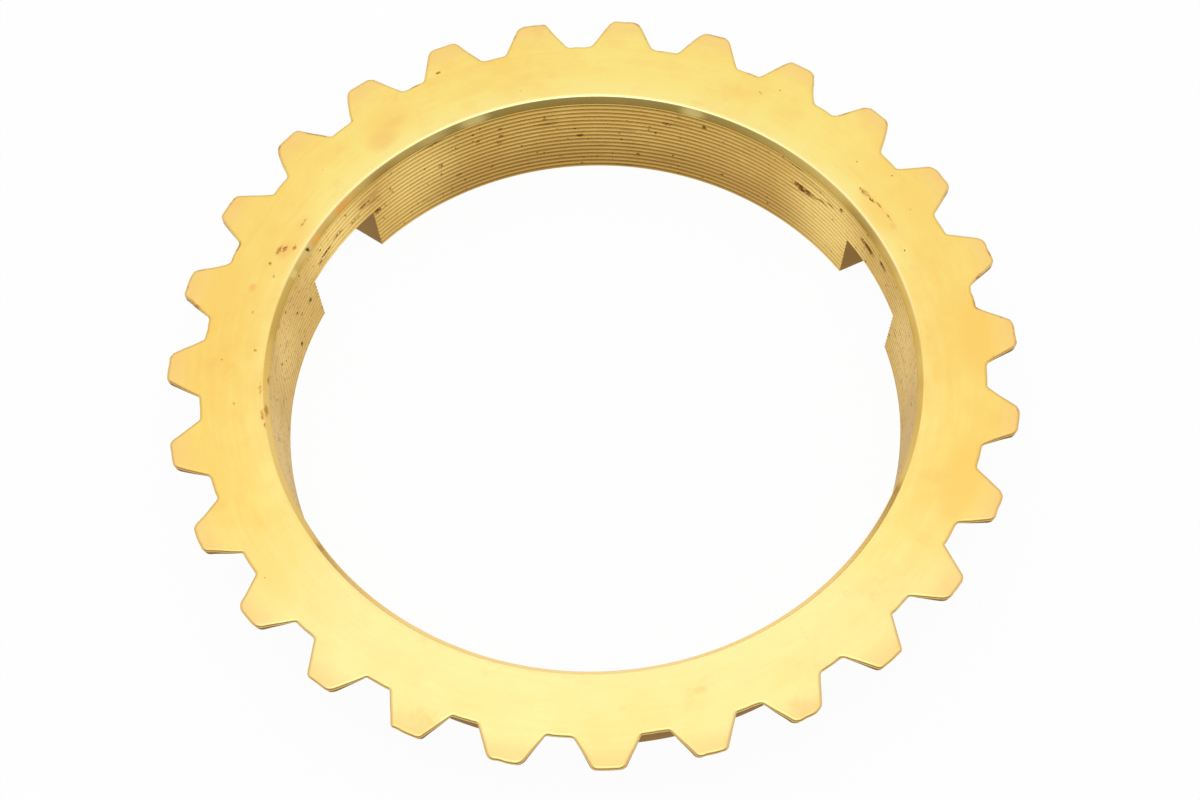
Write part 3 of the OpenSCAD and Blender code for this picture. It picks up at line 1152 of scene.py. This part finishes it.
@dataclass(frozen=True)
class GroovedCone(BrassFinish):
    """Brass, cut with oil grooves: lands dulled by wear, pits and streaks of dirt, grooves painted bright to
    lift their shade, and painted shade and reflections.
    """

    name: str = "bare_brass_grooved"
    roughness: float = 0.36
    relief: float = 0.2
    relief_mm: float = 0.02
    land: str = "#DDB560"
    # Colour of lands rubbed bright in patches, and of the painted reflection towards the sides
    rubbed: str = "#FFDC82"
    # Colour of the painted shade at the foot of the back wall
    low: str = "#B98F48"
    # Grooves painted brighter than the lands, to lift their shade
    clean: str = "#FFE084"
    # Painted shade in the grooves at the back
    groove_painted_shade: str = "#B0823A"
    # Darker colour of the grooves at their marks
    dark_groove: str = "#80560F"
    freckle: str = "#A97A38"
    film: str = "#8E5C12"
    dirt: str = "#704200"
    patches: Grain = Grain("place", 6.0, 4.0, 0.6)
    streaks: Grain = Grain("round_it", 0.7)
    freckles: Grain = Grain("place", 0.5, 3.0, 0.7)
    rub: Fade = Fade("patches", 0.45, 0.75, last=0.4)
    back: Fade = Fade("y", 7 * MM, 17 * MM)
    # Where the painted shade at the foot lies: at the back, darker towards the bottom
    middle: Fade = Fade("y", 20 * MM, 27 * MM)
    foot: Fade = Fade("z", 7 * MM, 1 * MM, last=0.7)
    depth: Fade = Fade("tone", 0.3, 0.75, course="LINEAR")
    soiled: Fade = Fade("streaks", 0.6, 0.8, last=0.45)
    dotted: Fade = Fade("freckles", 0.52, 0.7, last=0.55)
    away: Fade = Fade("back", first=1.0, last=0.35, course="LINEAR")
    pits: Specks = Specks(0.75, 0.24, 0.45)
    dirt_rough: float = 0.3

    def dress(self, tree: Tree, at: SimpleNamespace) -> Dressing:
        """Colours the lands in patches, with a painted reflection at the sides and painted shade at the
        foot, paints the grooves bright except for painted shade at the back, and lays dirt over both.

        Args:
            tree: Material's tree.
            at: Coordinates and patterns by name.

        Returns:
            What the shader gets.
        """
        # Marks where the grooves are painted darker
        dark_groove_marks = mark_mask(tree, at.place, CONE_DARK_GROOVES)
        # The grooves are painted brighter to lift their shade, with painted shade at the back and darker
        # marks
        hollows = lay_coats(tree, self.clean, [(at.back, self.groove_painted_shade), (dark_groove_marks, self.dark_groove)])
        pits = speck_mask(tree, at.place, self.pits)
        dirt = join_masks(tree, "MAXIMUM", (pits, stain_mask(tree, at.place, CONE_MARKS), at.soiled))
        colour = lay_coats(tree, self.land, [
            # Lands rubbed bright in patches, and painted brighter towards the sides as a painted reflection
            (join_masks(tree, "MAXIMUM", (at.rub, mark_mask(tree, at.place, CONE_SHEENS))), self.rubbed),
            # Painted shade, darker towards the foot of the back wall
            (join_masks(tree, "MULTIPLY", (at.foot, at.middle)), self.low),
            (at.depth, hollows),
            (join_masks(tree, "MULTIPLY", (at.dotted, at.away)), self.freckle),
            *dirt_coats(tree, dirt, self.film, self.dirt),
        ])
        return Dressing(colour, [(dirt, self.dirt_rough)], at.streaks)


@dataclass(frozen=True)
class CutFlank(BrassFinish):
    """Brass, milled and left to tarnish: matt brown with cutter lines, and painted shade low under the teeth
    and on the sleeve.
    """

    name: str = "tarnished_brass_milled"
    roughness: float = 0.36
    relief: float = 0.3
    relief_mm: float = 0.02
    brown: str = "#8E6612"
    tan: str = "#B68826"
    # Colour of the painted shade under the teeth and on the sleeve
    dark: str = "#6C4A08"
    patches: Grain = Grain("place", 3.0, 4.0, 0.6)
    share: Fade = Fade("patches", 0.2, 0.9)
    low: Fade = Fade("tone", 1.0, 2.0, last=0.7)
    sleeve: Fade = Fade("z", 7 * MM, 5 * MM, last=0.35)
    # Lines of the cutter, coarser than real ones so that they show
    line_size: float = 0.2
    line_stretch: tuple[float, float, float] = (1.0, 1.0, 0.1)
    patch_rough: float = 0.2

    def dress(self, tree: Tree, at: SimpleNamespace) -> Dressing:
        """Mixes two browns in patches, paints shade on the low edges under the teeth and on the sleeve, and
        draws the cutter's lines.

        Args:
            tree: Material's tree.
            at: Coordinates and patterns by name.

        Returns:
            What the shader gets.
        """
        tall = add_node(tree, "Mapping", {"Vector": at.place, "Scale": self.line_stretch})
        lines = add_pattern(tree, Grain("tall", self.line_size, 2.0), tall)
        # shaded is painted shade: darker under the teeth and on the sleeve below the rim
        shaded = join_masks(tree, "MAXIMUM", (at.low, at.sleeve))
        colour = lay_coats(tree, self.brown, [(at.share, self.tan), (shaded, self.dark)])
        return Dressing(colour, [(at.patches, self.patch_rough)], lines)


@dataclass(frozen=True)
class PhotoCamera:
    """The camera of the photograph: angles in degrees, lengths in millimetres, aimed at the toothed face."""

    azimuth: float = 6.544
    elevation: float = 61.569
    roll: float = -2.264
    distance: float = 300.26
    aim_right: float = 0.58
    aim_away: float = -3.085
    focal_px: float = 3219.5
    nearest: float = 10.0

    def build(self, face_z: float) -> bpy.types.Object:
        """Places the camera behind its aim along the view and turns it about the view by its roll.

        Args:
            face_z: Height of the toothed face.

        Returns:
            The camera's object.
        """
        turn = Matrix.Rotation(math.radians(self.azimuth), 3, "Z")
        tilt = math.radians(self.elevation)
        back = turn @ Vector((0, -math.cos(tilt), math.sin(tilt)))
        level = turn @ Vector((1, 0, 0))
        upright = back.cross(level)
        roll = math.radians(self.roll)
        right = math.cos(roll) * level + math.sin(roll) * upright
        up = math.cos(roll) * upright - math.sin(roll) * level
        aim = turn @ Vector((self.aim_right, self.aim_away, 0)) + Vector((0, 0, face_z))
        place = aim + back * self.distance
        data = bpy.data.cameras.new("photo_camera")
        data.sensor_width = SENSOR_W
        data.lens = self.focal_px / IMAGE_W * SENSOR_W
        data.clip_start = self.nearest * MM
        camera = bpy.data.objects.new("photo_camera", data)
        axes = Matrix((right, up, back)).transposed().to_4x4()
        camera.matrix_world = Matrix.Translation(place * MM) @ axes
        bpy.context.collection.objects.link(camera)
        bpy.context.scene.camera = camera
        return camera


@dataclass(frozen=True)
class Studio:
    """A white board in a soft room, brightest overhead and dim on the camera's side, with one soft lamp."""

    floor_half: float = 20.0
    floor_gap: float = 0.02 * MM
    floor_colour: str = "#FAFAF9"
    floor_glow: float = 0.965
    room_level: float = 0.62
    room_overhead: float = 0.43
    dim_azimuth: float = 6.544
    dim: Fade = Fade("side", 0.1, 0.7, 1.0, 0.33)
    lamp_power: float = 0.34
    lamp_size: float = 0.4
    lamp_place: tuple[float, float, float] = (0.0, -0.09, 0.62)

    def floor(self) -> bpy.types.Object:
        """Makes the flat board on which the ring stands, clear when it is seen from below.

        Part of its white is its own, and the rest takes the shadow.

        Returns:
            The floor's object.
        """
        half, z = self.floor_half, -self.floor_gap
        corners = [(-half, -half, z), (half, -half, z), (half, half, z), (-half, half, z)]
        mesh = bpy.data.meshes.new("studio_floor")
        mesh.from_pydata(corners, [], [(0, 1, 2, 3)])
        material = bpy.data.materials.new("matt_white_board")
        material.use_nodes = True
        tree = material.node_tree
        tree.nodes.clear()
        matt = add_node(tree, "BsdfDiffuse", {"Color": linear(self.floor_colour)})
        glow = add_node(tree, "Emission", {"Strength": 1.0})
        path = add_node(tree, "LightPath").outputs
        rays = (path["Is Camera Ray"], path["Is Glossy Ray"], path["Is Transmission Ray"])
        seen = join_masks(tree, "MAXIMUM", rays)
        share = add_node(tree, "Math", (seen, self.floor_glow), operation="MULTIPLY")
        both = add_node(tree, "MixShader", (share, matt, glow))
        below = add_node(tree, "NewGeometry").outputs["Backfacing"]
        board = add_node(tree, "MixShader", (below, both, add_node(tree, "BsdfTransparent")))
        add_node(tree, "OutputMaterial", {"Surface": board})
        mesh.materials.append(material)
        floor = bpy.data.objects.new("studio_floor", mesh)
        bpy.context.collection.objects.link(floor)
        return floor

    def room(self) -> None:
        """Lights the scene from all sides, by direction.

        The light grows with the direction's height as level + overhead z. Towards the dim side it falls
        smoothly with the direction's cosine to that side.
        """
        world = bpy.data.worlds.new("soft_room")
        world.use_nodes = True
        tree = world.node_tree
        tree.nodes.clear()
        way = add_node(tree, "TexCoord").outputs["Generated"]
        height = add_node(tree, "SeparateXYZ", (way,)).outputs["Z"]
        rise = (height, self.room_overhead, self.room_level)
        level = add_node(tree, "Math", rise, operation="MULTIPLY_ADD")
        turn = math.radians(self.dim_azimuth)
        dim_way = (math.sin(turn), -math.cos(turn), 0)
        side = add_node(tree, "VectorMath", (way, dim_way), operation="DOT_PRODUCT")
        light = add_node(tree, "Math", (level, add_pattern(tree, self.dim, side)), operation="MULTIPLY")
        room = add_node(tree, "Background", {"Color": (1, 1, 1, 1), "Strength": light})
        add_node(tree, "OutputWorld", {"Surface": room})
        bpy.context.scene.world = world

    def lamp(self) -> None:
        """Hangs one soft lamp above the ring, a little towards the camera."""
        data = bpy.data.lights.new("soft_lamp", "AREA")
        data.shape = "DISK"
        data.size = self.lamp_size
        data.energy = self.lamp_power
        lamp = bpy.data.objects.new("soft_lamp", data)
        place = Vector(self.lamp_place)
        lamp.matrix_world = Matrix.Translation(place) @ place.to_track_quat("Z", "Y").to_matrix().to_4x4()
        bpy.context.collection.objects.link(lamp)


def main() -> None:
    """Builds the studio, the camera and the ring, and logs the skin's open edges, volume and face count."""
    logging.basicConfig(level=logging.INFO)
    bpy.context.scene.view_settings.view_transform = "Standard"
    ring = SynchronizerRing()
    PhotoCamera().build(ring.height)
    studio = Studio()
    studio.floor()
    studio.room()
    studio.lamp()
    finishes = {Zone.FACE: TurnedFace(), Zone.MOUTH: TurnedMouth(), Zone.CONE: GroovedCone(),
                Zone.FLANK: CutFlank()}
    skin = ring.build([finishes[zone].material() for zone in Zone])
    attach(skin, BODY)
    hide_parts(NODE)
    LOG.info("ring skin: %d faces", len(skin.data.polygons))


if __name__ == "__main__":
    main()
